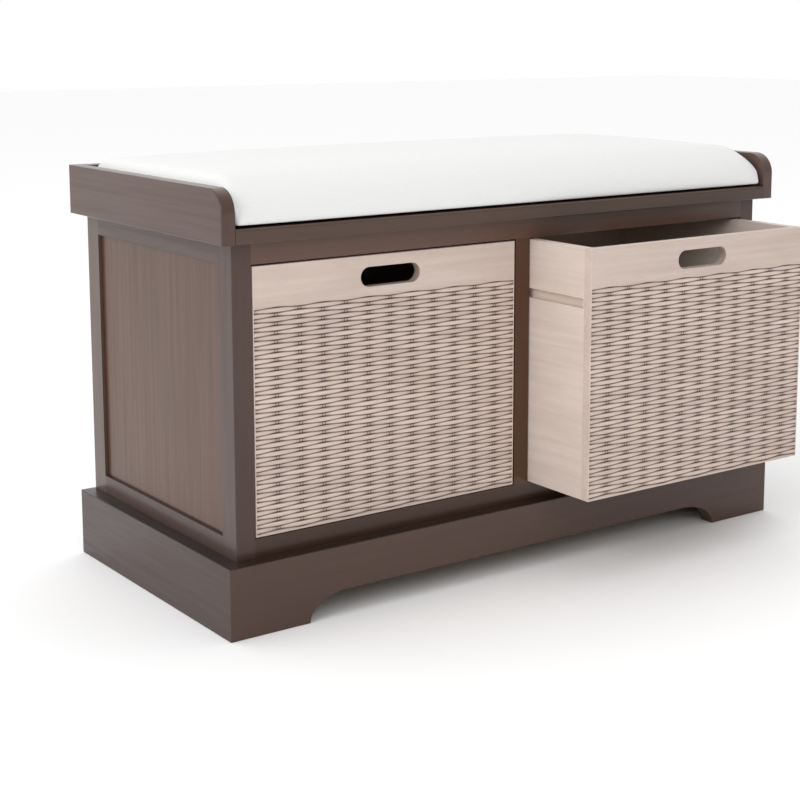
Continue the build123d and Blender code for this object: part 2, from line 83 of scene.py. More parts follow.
# ---- a small builder for node materials ----
class Graph:
    """One material: add() makes a node and returns it; values that are sockets are linked."""

    def __init__(self, name):
        self.material = bpy.data.materials.new(name)
        self.material.use_nodes = True
        self.tree = self.material.node_tree
        self.tree.nodes.clear()
        self.shader = self.add("ShaderNodeBsdfPrincipled")
        output = self.add("ShaderNodeOutputMaterial")
        self.tree.links.new(self.shader.outputs[0], output.inputs["Surface"])
        self.coords = self.add("ShaderNodeTexCoord").outputs["Object"]

    def add(self, kind, inputs=None, **settings):
        node = self.tree.nodes.new(kind)
        for key, value in settings.items():
            setattr(node, key, value)
        for key, value in (inputs or {}).items():
            self.set(node.inputs[key], value)
        return node

    def set(self, socket, value):
        if isinstance(value, bpy.types.NodeSocket):
            self.tree.links.new(value, socket)
        else:
            socket.default_value = value

    def math(self, operation, a, b=0.0):
        return self.add("ShaderNodeMath", {0: a, 1: b}, operation=operation).outputs[0]

    def ease(self, value, low, high, to_low=0.0, to_high=1.0):
        """The value taken smoothly from one range to another, and held at the ends."""
        ends = {1: low, 2: high, 3: to_low, 4: to_high}
        node = self.add("ShaderNodeMapRange", {0: value, **ends}, interpolation_type="SMOOTHSTEP")
        return node.outputs[0]

    def stretch(self, vector, scale, shift=(0.0, 0.0, 0.0)):
        inputs = {"Vector": vector, "Scale": scale, "Location": shift}
        return self.add("ShaderNodeMapping", inputs).outputs[0]

    def noise(self, vector, scale=1.0, detail=4.0, roughness=0.5, distortion=0.0):
        inputs = {
            "Vector": vector,
            "Scale": scale,
            "Detail": detail,
            "Roughness": roughness,
            "Distortion": distortion,
        }
        return self.add("ShaderNodeTexNoise", inputs).outputs["Fac"]

    def mix(self, factor, a, b):
        node = self.add("ShaderNodeMix", data_type="RGBA")
        self.set(node.inputs["Factor"], factor)
        self.set(node.inputs["A"], a)
        self.set(node.inputs["B"], b)
        return node.outputs["Result"]

    def bump(self, height, distance, strength):
        inputs = {"Height": height, "Distance": distance, "Strength": strength}
        return self.add("ShaderNodeBump", inputs).outputs[0]

    def axes(self, vector=None):
        """The X, Y and Z of a vector, or of the object coordinates."""
        vector = self.coords if vector is None else vector
        return self.add("ShaderNodeSeparateXYZ", {0: vector}).outputs

    def finish(self, **inputs):
        for key, value in inputs.items():
            self.set(self.shader.inputs[key.replace("_", " ")], value)
        return self.material


NO_TINT = (1.0, 1.0, 1.0)


def tone(colour, tint=NO_TINT, times=1.0):
    return (*(min(1.0, c * part * times) for c, part in zip(colour, tint)), 1.0)


# ---- finishes ----
# light, middle and dark tones, and how strongly each layer of the grain shows
WOODS = {
    "stained_wood": {
        "tones": ((0.101, 0.0645, 0.0495), (0.0950, 0.0602, 0.0458), (0.051, 0.030, 0.0215)),
        "figure": 0.07,
        "blotch": 0.50,
        "pores": 0.20,
        "roughness": (0.38, 0.52),
        "relief": 0.00006,
        "lacquer": 0.55,
        "gloss": 0.2,
    },
    "whitewashed_wood": {
        "tones": ((0.650, 0.540, 0.475), (0.600, 0.487, 0.420), (0.480, 0.370, 0.305)),
        "figure": 0.22,
        "blotch": 0.30,
        "pores": 0.22,
        "roughness": (0.55, 0.68),
        "relief": 0.00010,
    },
    "plain_wood": {
        "tones": ((0.62, 0.46, 0.30), (0.53, 0.37, 0.22), (0.38, 0.23, 0.12)),
        "figure": 0.75,
        "blotch": 0.25,
        "pores": 0.25,
        "roughness": (0.60, 0.72),
        "relief": 0.00012,
    },
    "plywood": {
        "tones": ((0.62, 0.49, 0.34), (0.54, 0.40, 0.26), (0.42, 0.29, 0.17)),
        "figure": 0.85,
        "blotch": 0.25,
        "pores": 0.20,
        "roughness": (0.60, 0.70),
        "relief": 0.00008,
    },
}
AXES = {"X": (0, 1, 2), "Y": (1, 0, 2), "Z": (2, 0, 1)}  # along the grain, and the two across it
LACQUER_ROUGHNESS = 0.22
PLAIN_GLOSS = 0.5
# painted shade, standing in for the shadow on a plinth's top ledge against the case and in the recess
# round a side panel: how far from the edge it is full and gone, how strong, and how dark
LEDGE_PAINTED_SHADE = (0.2 * MM, 1.2 * MM, 0.72, 0.3)
RECESS_PAINTED_SHADE = (0.6 * MM, 2.4 * MM, 0.85, 0.25)


def grain(graph, axis, seed):
    """Coordinates whose X runs along the grain, set apart for each board by its seed."""
    parts = graph.axes()
    along, across, through = (parts[i] for i in AXES[axis])
    joined = graph.add("ShaderNodeCombineXYZ", {0: along, 1: across, 2: through}).outputs[0]
    return graph.stretch(joined, (1, 1, 1), (0.73 * seed, 0.41 * seed, 0.29 * seed))


def wood(slot, axis, seed, tint=NO_TINT, ledge=None, opening=None):
    """Sawn wood: cathedral figure, fine fibres, open pores and an uneven stain.

    Painted shade darkens a ledge's top at the height given, and the edges of an opening in Y and Z.
    """
    look = WOODS[slot]
    graph = Graph(f"{slot}_{axis}_{seed}")
    vector = grain(graph, axis, seed)
    broad = graph.noise(graph.stretch(vector, (1.1, 13, 13)), 1.0, 2.0, 0.5, 0.4)
    rings = graph.math("SINE", graph.math("MULTIPLY", broad, 58.0))
    rings = graph.ease(rings, -1.0, 1.0)
    streaks = graph.noise(graph.stretch(vector, (5, 150, 150)), 1.0, 6.0, 0.62)
    fibres = graph.noise(graph.stretch(vector, (26, 900, 900)), 1.0, 3.0, 0.6)
    stain = graph.noise(graph.stretch(vector, (4, 9, 9)), 1.0, 5.0, 0.6)
    pores = graph.noise(graph.stretch(vector, (55, 1300, 1300)), 1.0, 2.0, 0.5)
    pores = graph.ease(pores, 0.60, 0.72)

    light, middle, dark = look["tones"]
    streaks = graph.ease(streaks, 0.30, 0.70)
    colour = graph.mix(streaks, tone(middle, tint), tone(light, tint))
    figure = graph.math("MULTIPLY", rings, look["figure"])
    figure = graph.math("MULTIPLY", figure, graph.ease(fibres, 0.25, 0.75, 0.5, 1.0))
    colour = graph.mix(figure, colour, tone(dark, tint))
    uneven = graph.math("MULTIPLY", graph.ease(stain, 0.42, 0.68), look["blotch"])
    colour = graph.mix(uneven, colour, tone(middle, tint, 0.80))
    colour = graph.mix(graph.math("MULTIPLY", pores, look["pores"]), colour, tone(dark, tint, 0.8))

    # painted shade: the colour taken towards the dark tone near an edge
    def paint_shade(colour, distance, near, far, strength, shade):
        shade_amount = graph.ease(distance, near, far, strength, 0.0)
        return graph.mix(shade_amount, colour, tone(dark, tint, shade))

    # painted shadow on the ledge's top face, against the case
    if ledge is not None:
        colour = paint_shade(colour, graph.math("SUBTRACT", ledge, graph.axes()["Z"]), *LEDGE_PAINTED_SHADE)
    # painted shade along the edges of the panel's recess, where the posts and rails shadow it
    if opening is not None:
        place = graph.axes()
        inside = 1.0
        for side, (start, end) in opening.items():
            inside = graph.math("MINIMUM", inside, graph.math("SUBTRACT", place[side], start))
            inside = graph.math("MINIMUM", inside, graph.math("SUBTRACT", end, place[side]))
        colour = paint_shade(colour, inside, *RECESS_PAINTED_SHADE)

    low, high = look["roughness"]
    rough = graph.ease(graph.math("ADD", streaks, fibres), 0.3, 1.6, high, low)
    height = graph.math("ADD", graph.math("MULTIPLY", streaks, 0.6), fibres)
    height = graph.math("SUBTRACT", height, pores)
    normal = graph.bump(height, look["relief"], 0.6)
    return graph.finish(
        Base_Color=colour,
        Roughness=rough,
        Normal=normal,
        Specular_IOR_Level=look.get("gloss", PLAIN_GLOSS),
        Coat_Weight=look.get("lacquer", 0.0),
        Coat_Roughness=LACQUER_ROUGHNESS,
    )


WOVEN_TINT = (0.965, 0.955, 0.965)
STRAND_SHADE = (1.20, 1.20, 1.19, 1.0)
# dark brown of the grooves: partly stain, partly painted shade
GROOVE_SHADE_AND_STAIN_COLOUR = (0.045, 0.020, 0.010, 1.0)


def woven_wood(seed):
    """The whitewashed wood of a drawer front, with brown stain and painted shade in the carved grooves,
    and painted shade where strands pass under their neighbours.
    """
    material = wood("whitewashed_wood", "X", seed, WOVEN_TINT)
    material.name = f"woven_wood_{seed}"
    tree = material.node_tree
    shader = next(n for n in tree.nodes if n.type == "BSDF_PRINCIPLED")
    colour = shader.inputs["Base Color"].links[0].from_socket
    # each strand's own tone, then the grooves' brown stain and painted shade
    for attribute, blend, value in (("strand", "MULTIPLY", STRAND_SHADE), ("stain_and_shade", "MIX", GROOVE_SHADE_AND_STAIN_COLOUR)):
        amount = tree.nodes.new("ShaderNodeAttribute")
        amount.attribute_name = attribute
        layer = tree.nodes.new("ShaderNodeMix")
        layer.data_type, layer.blend_type = "RGBA", blend
        layer.inputs["B"].default_value = value
        tree.links.new(amount.outputs["Fac"], layer.inputs["Factor"])
        tree.links.new(colour, layer.inputs["A"])
        colour = layer.outputs["Result"]
    tree.links.new(colour, shader.inputs["Base Color"])
    return material


def hardboard():
    """Brown pressed board with pale flecks."""
    graph = Graph("hardboard")
    fine = graph.noise(graph.stretch(graph.coords, (420, 420, 420)), 1.0, 5.0, 0.7)
    cloud = graph.noise(graph.stretch(graph.coords, (14, 14, 14)), 1.0, 4.0, 0.6)
    flecks = graph.ease(graph.noise(graph.stretch(graph.coords, (700, 700, 160)), 1.0, 2.0), 0.58, 0.7)
    colour = graph.mix(fine, tone((0.20, 0.125, 0.080)), tone((0.31, 0.20, 0.13)))
    colour = graph.mix(graph.math("MULTIPLY", cloud, 0.4), colour, tone((0.17, 0.10, 0.065)))
    colour = graph.mix(graph.math("MULTIPLY", flecks, 0.35), colour, tone((0.42, 0.30, 0.20)))
    rough = graph.ease(fine, 0.2, 0.8, 0.42, 0.62)
    return graph.finish(Base_Color=colour, Roughness=rough, Normal=graph.bump(fine, 0.00008, 0.5))


def zinc_steel():
    """Zinc-plated steel, brushed and slightly patchy."""
    graph = Graph("screw_steel")
    brushed = graph.noise(graph.stretch(graph.coords, (900, 900, 300)), 1.0, 3.0, 0.6)
    patches = graph.noise(graph.stretch(graph.coords, (260, 260, 260)), 1.0, 2.0)
    colour = graph.mix(patches, tone((0.60, 0.60, 0.57)), tone((0.72, 0.73, 0.76)))
    rough = graph.ease(brushed, 0.25, 0.75, 0.26, 0.42)
    return graph.finish(
        Base_Color=colour, Roughness=rough, Metallic=1.0, Normal=graph.bump(brushed, 0.00003, 0.5)
    )


def threads(graph, pitch):
    """The height of a plain weave on any face: its threads run along the two axes in that face."""
    facing = graph.axes(graph.add("ShaderNodeTexCoord").outputs["Normal"])
    turns = 2 * math.pi / pitch
    waves = [graph.math("SINE", graph.math("MULTIPLY", part, turns)) for part in graph.axes()]
    height = 0.0
    for axis, part in enumerate(facing):
        crossing = graph.math("MULTIPLY", waves[axis - 2], waves[axis - 1])
        share = graph.math("MULTIPLY", part, part)
        height = graph.math("ADD", graph.math("MULTIPLY", crossing, share), height)
    return height


def cushion_fabric():
    """White plain-woven cotton with slubs."""
    graph = Graph("cushion_fabric")
    weave = graph.ease(threads(graph, 0.0011), -1.2, 1.2)
    slub = graph.noise(graph.stretch(graph.coords, (60, 420, 420)), 1.0, 3.0, 0.6)
    cross_slub = graph.noise(graph.stretch(graph.coords, (420, 60, 420)), 1.0, 3.0, 0.6)
    slubs = graph.math("MULTIPLY", graph.math("ADD", slub, cross_slub), 0.5)
    cloud = graph.noise(graph.stretch(graph.coords, (9, 9, 9)), 1.0, 3.0)
    colour = graph.mix(weave, tone((0.70, 0.70, 0.695)), tone((0.785, 0.785, 0.780)))
    colour = graph.mix(graph.ease(slubs, 0.35, 0.65, 0.0, 0.35), colour, tone((0.81, 0.81, 0.80)))
    colour = graph.mix(graph.ease(cloud, 0.35, 0.7, 0.0, 0.30), colour, tone((0.74, 0.738, 0.73)))
    height = graph.math("ADD", weave, graph.math("MULTIPLY", slubs, 0.8))
    normal = graph.bump(height, 0.00010, 0.5)
    rough = graph.ease(slubs, 0.3, 0.7, 0.78, 0.9)
    return graph.finish(
        Base_Color=colour,
        Roughness=rough,
        Normal=normal,
        Sheen_Weight=0.12,
        Sheen_Roughness=0.5,
    )


def dust_cloth():
    """Thin black felt with pressed dots."""
    graph = Graph("dust_cover")
    felt = graph.noise(graph.stretch(graph.coords, (300, 300, 300)), 1.0, 5.0, 0.7)
    dots = graph.math("ABSOLUTE", threads(graph, 0.0016))
    dots = graph.ease(dots, 0.55, 0.95)
    colour = graph.mix(felt, tone((0.018, 0.018, 0.019)), tone((0.050, 0.050, 0.052)))
    colour = graph.mix(graph.math("MULTIPLY", dots, 0.5), colour, tone((0.008, 0.008, 0.009)))
    height = graph.math("SUBTRACT", felt, dots)
    return graph.finish(Base_Color=colour, Roughness=0.9, Normal=graph.bump(height, 0.0001, 0.7))


def hook_and_loop():
    """Black tape covered in fine loops."""
    graph = Graph("hook_and_loop")
    loops = graph.noise(graph.stretch(graph.coords, (900, 900, 900)), 1.0, 3.0, 0.7)
    rows = graph.ease(threads(graph, 0.0022), -0.8, 0.8)
    colour = graph.mix(loops, tone((0.022, 0.022, 0.023)), tone((0.085, 0.085, 0.088)))
    height = graph.math("ADD", loops, rows)
    return graph.finish(
        Base_Color=colour, Roughness=0.85, Normal=graph.bump(height, 0.0004, 0.8), Sheen_Weight=0.2
    )


# ---- finishes on the CAD nodes ----
GRAIN_X = """plinth_front plinth_back front_top_rail front_bottom_rail back_top_rail back_bottom_rail
seat_board back_gallery_rail bottom_board bottom_cleats plinth_ledgers left_drawer_back
right_drawer_back left_drawer_bottom right_drawer_bottom drawer_stop_blocks""".split()
GRAIN_Y = """plinth_left plinth_right left_side_top_rail left_side_bottom_rail right_side_top_rail
right_side_bottom_rail left_gallery_rail right_gallery_rail seat_bearer left_outer_runner
left_inner_runner right_inner_runner right_outer_runner left_runner_packer right_runner_packer
left_drawer_left_side left_drawer_right_side right_drawer_left_side right_drawer_right_side""".split()
# each board's tone, set board by board: the common tones are multiplied by these
BOARD_TINT = {
    "left_side_panel": (0.90, 0.60, 0.38),
    "right_side_panel": (0.90, 0.60, 0.38),
    "left_side_top_rail": (0.64, 0.52, 0.53),
    "right_side_top_rail": (0.64, 0.52, 0.53),
    "left_side_bottom_rail": (0.66, 0.54, 0.54),
    "right_side_bottom_rail": (0.66, 0.54, 0.54),
    "left_gallery_rail": (0.75, 0.60, 0.58),
    "right_gallery_rail": (0.84, 0.74, 0.76),
    "plinth_left": (0.34, 0.16, 0.14),
    "plinth_right": (0.34, 0.16, 0.14),
    "plinth_front": (0.72, 0.56, 0.50),
    "front_left_post": (0.62, 0.50, 0.48),
    "front_right_post": (0.62, 0.50, 0.48),
    "front_top_rail": (1.08, 0.86, 0.76),
    "front_bottom_rail": (0.47, 0.29, 0.19),
    "centre_stile": (0.70, 0.45, 0.23),
    "seat_board": (0.72, 0.61, 0.52),
    "left_drawer_left_side": (1.08, 1.11, 1.13),
    "left_drawer_right_side": (1.08, 1.11, 1.13),
    "right_drawer_left_side": (1.08, 1.11, 1.13),
    "right_drawer_right_side": (1.08, 1.11, 1.13),
}
LEDGES = ("plinth_left", "plinth_right", "plinth_front")  # painted shade on their top faces, standing in for the shadow against the case
# nodes whose edges get a slight round
SOFT_EDGE = 0.7 * MM
SOFT_EDGED = """front_left_post front_right_post rear_left_post rear_right_post front_top_rail
front_bottom_rail centre_stile left_side_top_rail left_side_bottom_rail right_side_top_rail
right_side_bottom_rail back_top_rail back_bottom_rail plinth_left plinth_right plinth_front
left_drawer_left_side left_drawer_right_side left_drawer_back right_drawer_left_side
right_drawer_right_side right_drawer_back""".split()


def panel_opening(hand):
    """The part of a side panel that shows between its posts and rails, in Y and Z."""
    return {
        "Y": (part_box(f"front_{hand}_post")[1].y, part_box(f"rear_{hand}_post")[0].y),
        "Z": (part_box(f"{hand}_side_bottom_rail")[1].z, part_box(f"{hand}_side_top_rail")[0].z),
    }


slot_of = {part["node"]: part["material_slot"] for part in frame["record"]["subparts"]}
shared = {
    "hardboard": hardboard(),
    "screw_steel": zinc_steel(),
    "cushion_fabric": cushion_fabric(),
    "dust_cover": dust_cloth(),
    "hook_and_loop": hook_and_loop(),
}
for seed, name in enumerate(sorted(frame["nodes"]), 1):
    node = frame["nodes"][name]
    slot = slot_of[name]
    if slot in WOODS:
        axis = "X" if name in GRAIN_X else "Y" if name in GRAIN_Y else "Z"
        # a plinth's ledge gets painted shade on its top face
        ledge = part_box(name)[1].z if name in LEDGES else None
        # a side panel gets painted shade along the edges of its recess
        opening = panel_opening(name.split("_")[0]) if name.endswith("_side_panel") else None
        finish = wood(slot, axis, seed, BOARD_TINT.get(name, NO_TINT), ledge, opening)
    else:
        finish = shared[slot]
    if not node.material_slots:
        node.data.materials.append(finish)
    for place in node.material_slots:
        place.material = finish
    if name in SOFT_EDGED:
        soften = node.modifiers.new("soft_edges", "BEVEL")
        soften.width, soften.segments = SOFT_EDGE, 2
        soften.limit_method, soften.angle_limit = "ANGLE", math.radians(50)
        soften.harden_normals = False


# ---- meshes made from arrays ----
SHARP = 35.0  # degrees between two faces, from which their edge stays sharp


def mesh_object(name, points, faces, material):
    """A smooth-shaded object in the scene, its sharp edges kept."""
    mesh = bpy.data.meshes.new(name)
    mesh.from_pydata([tuple(p) for p in points], [], faces)
    mesh.validate()
    mesh.polygons.foreach_set("use_smooth", [True] * len(mesh.polygons))
    mesh.set_sharp_from_angle(angle=math.radians(SHARP))
    mesh.materials.append(material)
    mesh.update()
    obj = bpy.data.objects.new(name, mesh)
    scene.collection.objects.link(obj)
    return obj


# ---- drawer fronts ----
EDGE_ROUND = 0.6 * MM
BORDER = 1.4 * MM  # plain wood at the sides of the weave
WEAVE_TOP = 45.3 * MM  # down from the top of the front
WEAVE_BOTTOM = 2.2 * MM
PAST_WEAVE = (1.2 * MM, 1.0 * MM)  # plain wood kept in the weave's grid below and above it
COLUMNS = 13
COLUMN_PITCH = 29.7 * MM
HALF_ROWS = 49  # half pitches from the lowest strands' centres to the highest
STRAND_HALF = 2.60 * MM  # half the height of a strand where it is widest
TAIL_HALF = 1.35 * MM  # and where it passes behind an upright, under its neighbours
CREST_DEPTH = 0.15 * MM  # of a strand's crest below the face, at its middle
CREST_DIVE, DIVE_POWER = 1.15 * MM, 2.2  # and how much more towards its ends
EDGE_DROP = 0.95 * MM  # from a strand's crest to its edges
SHOULDER, SHOULDER_DROP = 0.62, 0.3  # a point between: share of the half height, and of the drop
GROOVE_MARGIN = 1.3 * MM  # from an outer strand to the plain wood around the weave
GROOVE_DEPTH = 1.9 * MM
GROOVE_CLEAR = 0.15 * MM  # a strand's edges stay this far above the bottom of the groove
RIM_DEPTH = 0.85 * GROOVE_DEPTH  # of the outer groove
RIM_SHADE_AND_STAIN = 0.10  # stain and painted shade on the plain wood beside it
WALL_RUN = 0.4 * MM
SLOT_SIZE = (80.0 * MM, 22.0 * MM)
SLOT_DROP = 24.1 * MM  # slot centre below the top of the front
SLOT_ROUND = 0.8 * MM
SLOT_WASH = 0.45  # brown left on the walls of the slot
SLOT_ARC = 14  # steps round each end of the slot
STATIONS = [0.0, 0.7, 1.3, 1.9, 2.6, 3.6, 5.4, 7.4, 9.6, 11.6, 13.2]  # mm to each side of a column
STATION_GAP = 0.3 * MM  # least distance from the last of them to the wall of the weave
UPRIGHT_EDGE = 1.7 * MM  # nicks, carved and darkened with painted shade, at the edges of an upright
NICK, NICK_DEPTH = 0.95 * MM, 0.4 * MM
BEHIND_START, BEHIND_RUN = 0.86, 0.05  # where along a strand the nicks cross it
TAIL_START, TAIL_RUN = 0.66, 0.24  # where along a strand the painted shade of its dive under its neighbours sets in
# painted shade on a strand's ends, where it dives under its neighbours, and in the nicks
TAIL_PAINTED_SHADE, NICK_PAINTED_SHADE = 0.22, 0.78
GROOVE_SHADE_AND_STAIN = (0.74, 1.0)  # stain and painted shade in the grooves between the uprights, and beside them
LIP_SHADE_AND_STAIN = (0.60, 0.32)  # share of it on a strand's edges, and how much more beside the uprights
STRAND_SPREAD = 0.8  # how much one strand may differ from another in tone
ROUNDING = [math.pi / 6, math.pi / 3]  # angles at which a rounded edge is divided


def strand_height(t):
    """Half height of a strand, t column pitches from its centre."""
    return TAIL_HALF + (STRAND_HALF - TAIL_HALF) * math.cos(math.pi * t / 2) ** 2


def strand_crest(t):
    """Depth of a strand's crest below the face: it dives under its neighbours at its ends."""
    return CREST_DEPTH + CREST_DIVE * t**DIVE_POWER


def weave_profile(x, low, pitch, low_edge, high_edge, shades):
    """(z, depth, stain and painted shade, strand) up one line of the weave, x from the middle of the
    front.
    """
    place = x / COLUMN_PITCH + (COLUMNS - 1) / 2
    column = min(COLUMNS - 2, max(0, math.floor(place)))
    past = place - column
    near_column = min(past, 1 - past) * COLUMN_PITCH
    nick = max(0.0, 1.0 - abs(near_column - UPRIGHT_EDGE) / NICK)
    beside = math.cos(math.pi * past) ** 2
    groove = GROOVE_SHADE_AND_STAIN[0] + (GROOVE_SHADE_AND_STAIN[1] - GROOVE_SHADE_AND_STAIN[0]) * beside
    lip = groove * (LIP_SHADE_AND_STAIN[0] + LIP_SHADE_AND_STAIN[1] * beside)
    rows = [(low_edge, 0.0, 0.0, 0.0)]
    below = None
    for m in range(HALF_ROWS + 1):
        own = (m + column) % 2 == 0
        t = past if own else 1 - past
        shade = shades[m, column if own else column + 1]
        half = strand_height(t)
        crest = strand_crest(t)
        edge = min(crest + EDGE_DROP, GROOVE_DEPTH - GROOVE_CLEAR)
        tail = min(1.0, max(0.0, (t - TAIL_START) / TAIL_RUN))
        tail = tail * tail * (3 - 2 * tail)
        behind = nick * min(1.0, max(0.0, (t - BEHIND_START) / BEHIND_RUN))
        # painted shade where the strand dives under its neighbours and passes behind an upright
        stain_and_shade = TAIL_PAINTED_SHADE * tail + NICK_PAINTED_SHADE * behind
        crest += NICK_DEPTH * behind
        shoulder = crest + SHOULDER_DROP * (edge - crest)
        z = low + m * pitch
        if below is None:
            rows.append((z - half - GROOVE_MARGIN, 0.0, RIM_SHADE_AND_STAIN, 0.0))
            rows.append((z - half - 0.5 * GROOVE_MARGIN, RIM_DEPTH, groove, 0.0))
        else:
            rows.append(((below + z - half) / 2, GROOVE_DEPTH, groove, 0.0))
        rows.append((z - half, edge, max(lip, stain_and_shade), shade))
        rows.append((z - SHOULDER * half, shoulder, stain_and_shade, shade))
        rows.append((z, crest, stain_and_shade, shade))
        rows.append((z + SHOULDER * half, shoulder, stain_and_shade, shade))
        rows.append((z + half, edge, max(lip, stain_and_shade), shade))
        below = z + half
    rows.append((below + 0.5 * GROOVE_MARGIN, RIM_DEPTH, groove, 0.0))
    rows.append((below + GROOVE_MARGIN, 0.0, RIM_SHADE_AND_STAIN, 0.0))
    rows.append((high_edge, 0.0, 0.0, 0.0))
    return rows


def stadium(middle_x, middle_z, extra):
    """Points round the finger slot, widened by extra."""
    straight = (SLOT_SIZE[0] - SLOT_SIZE[1]) / 2
    radius = SLOT_SIZE[1] / 2 + extra
    points = []
    for side in (1, -1):
        for k in range(SLOT_ARC + 1):
            angle = math.pi * (k / SLOT_ARC - side / 2)
            x = middle_x + side * straight + radius * math.cos(angle)
            points.append((x, middle_z + radius * math.sin(angle)))
    return points


def weave_stations(half, weave_half):
    """Places of the upright lines of the weave's grid, from the middle of the front."""
    columns = [(i - (COLUMNS - 1) / 2) * COLUMN_PITCH for i in range(COLUMNS)]
    lines = {round(x + side * step * MM, 7) for x in columns for step in STATIONS for side in (-1, 1)}
    lines |= {round((a + b) / 2, 7) for a, b in zip(columns, columns[1:])}
    lines = {x for x in lines if abs(x) < weave_half - STATION_GAP}
    for edge in (weave_half, weave_half + WALL_RUN, half - EDGE_ROUND):
        lines |= {-edge, edge}
    return sorted(lines)


def drawer_front(hand, seed):
    """The front board of a drawer: plain band with a finger slot above the carved weave."""
    node = f"{hand}_drawer_front"
    low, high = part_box(node)
    middle = (low.x + high.x) / 2
    half = (high.x - low.x) / 2
    face, back = low.y, high.y
    points, stain_and_shade, strand, faces = [], [], [], []

    def put(x, depth, z, w=0.0, s=0.0):
        points.append((x, face + depth, z))
        stain_and_shade.append(w)
        strand.append(s)
        return len(points) - 1

    # the weave and the plain wood at its sides; the outer strands' widest points, with their
    # margin, meet the plain wood at the weave's lower and upper ends
    weave_half = half - BORDER
    reach = STRAND_HALF + GROOVE_MARGIN
    low_strand = low.z + WEAVE_BOTTOM + reach
    pitch = (high.z - WEAVE_TOP - reach - low_strand) / HALF_ROWS
    shades = np.random.default_rng(seed).random((HALF_ROWS + 1, COLUMNS)) * STRAND_SPREAD
    ends = low.z + WEAVE_BOTTOM - PAST_WEAVE[0], high.z - WEAVE_TOP + PAST_WEAVE[1]
    grid = []
    for x in weave_stations(half, weave_half):
        inside = min(max(x, -weave_half), weave_half)
        column = [put(middle + x, 0.0, low.z + EDGE_ROUND)]
        for z, *rest in weave_profile(inside, low_strand, pitch, *ends, shades):
            depth, w, s = rest if abs(x) <= weave_half else (0.0, 0.0, 0.0)
            column.append(put(middle + x, depth, z, w, s))
        grid.append(column)
    for a, b in zip(grid, grid[1:]):
        for k in range(len(a) - 1):
            faces.append((a[k], b[k], b[k + 1], a[k + 1]))

    # the plain band above the weave, with the slot through it
    band_top = high.z - EDGE_ROUND
    slot_z = high.z - SLOT_DROP
    top_left = put(middle - half + EDGE_ROUND, 0.0, band_top)
    top_right = put(middle + half - EDGE_ROUND, 0.0, band_top)
    outline = [c[-1] for c in grid] + [top_right, top_left]
    mouth = [put(x, 0.0, z) for x, z in stadium(middle, slot_z, SLOT_ROUND)]

    def cap(outer, hole, facing):
        """Triangles between an outline and the slot, turned to face along Y one way or the other."""
        ring = outer + hole
        flat = [Vector((points[i][0], points[i][2], 0)) for i in ring]
        for triangle in tessellate_polygon((flat[: len(outer)], flat[len(outer) :])):
            a, b, c = (ring[i] for i in triangle)
            u = np.subtract(points[b], points[a])
            v = np.subtract(points[c], points[a])
            if np.cross(u, v)[1] * facing < 0:
                b, c = c, b
            faces.append((a, b, c))

    cap(outline, mouth, -1)

    # round the front's edge, then run back to the rear face
    loop = [c[0] for c in grid] + grid[-1][1:] + [top_right, top_left] + grid[0][:0:-1]
    x_min, x_max = middle - half + EDGE_ROUND, middle + half - EDGE_ROUND
    z_min = low.z + EDGE_ROUND
    hair = 1e-7

    def outward(index):
        """Which way, in X and Z, the rounded edge leaves this point of the loop."""
        x, _, z = points[index]
        return (x >= x_max - hair) - (x <= x_min + hair), (z >= band_top - hair) - (z <= z_min + hair)

    ways = [outward(i) for i in loop]
    rear = loop
    steps = [(EDGE_ROUND * math.sin(a), EDGE_ROUND * (1 - math.cos(a))) for a in ROUNDING]
    for out, depth in [*steps, (EDGE_ROUND, EDGE_ROUND), (EDGE_ROUND, back - face)]:
        following = []
        for index, (way_x, way_z) in zip(loop, ways):
            x, _, z = points[index]
            following.append(put(x + way_x * out, depth, z + way_z * out))
        for k in range(len(rear)):
            n = (k + 1) % len(rear)
            faces.append((rear[k], following[k], following[n], rear[n]))
        rear = following

    # round the slot's edge, and run through to the rear face
    ring = mouth
    steps = [(SLOT_ROUND * (1 - math.sin(a)), SLOT_ROUND * (1 - math.cos(a))) for a in ROUNDING]
    straight = [(0.0, SLOT_ROUND), (0.0, back - face - SLOT_ROUND), (SLOT_ROUND, back - face)]
    for out, depth in steps + straight:
        wall = SLOT_WASH if depth > 0.5 * SLOT_ROUND else 0.0
        following = [put(x, depth, z, wall) for x, z in stadium(middle, slot_z, out)]
        for k in range(len(ring)):
            n = (k + 1) % len(ring)
            faces.append((ring[n], following[n], following[k], ring[k]))
        ring = following
    cap(rear, ring, 1)

    front = mesh_object(f"{hand}_woven_front", points, faces, woven_wood(seed))
    # stain and painted shade of the weave, and each strand's tone, as point attributes
    for name, values in (("stain_and_shade", stain_and_shade), ("strand", strand)):
        layer = front.data.attributes.new(name, "FLOAT", "POINT")
        layer.data.foreach_set("value", np.array(values, np.float32))
    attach(front, f"{hand}_drawer")
    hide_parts(node)


drawer_front("left", 71)
drawer_front("right", 72)

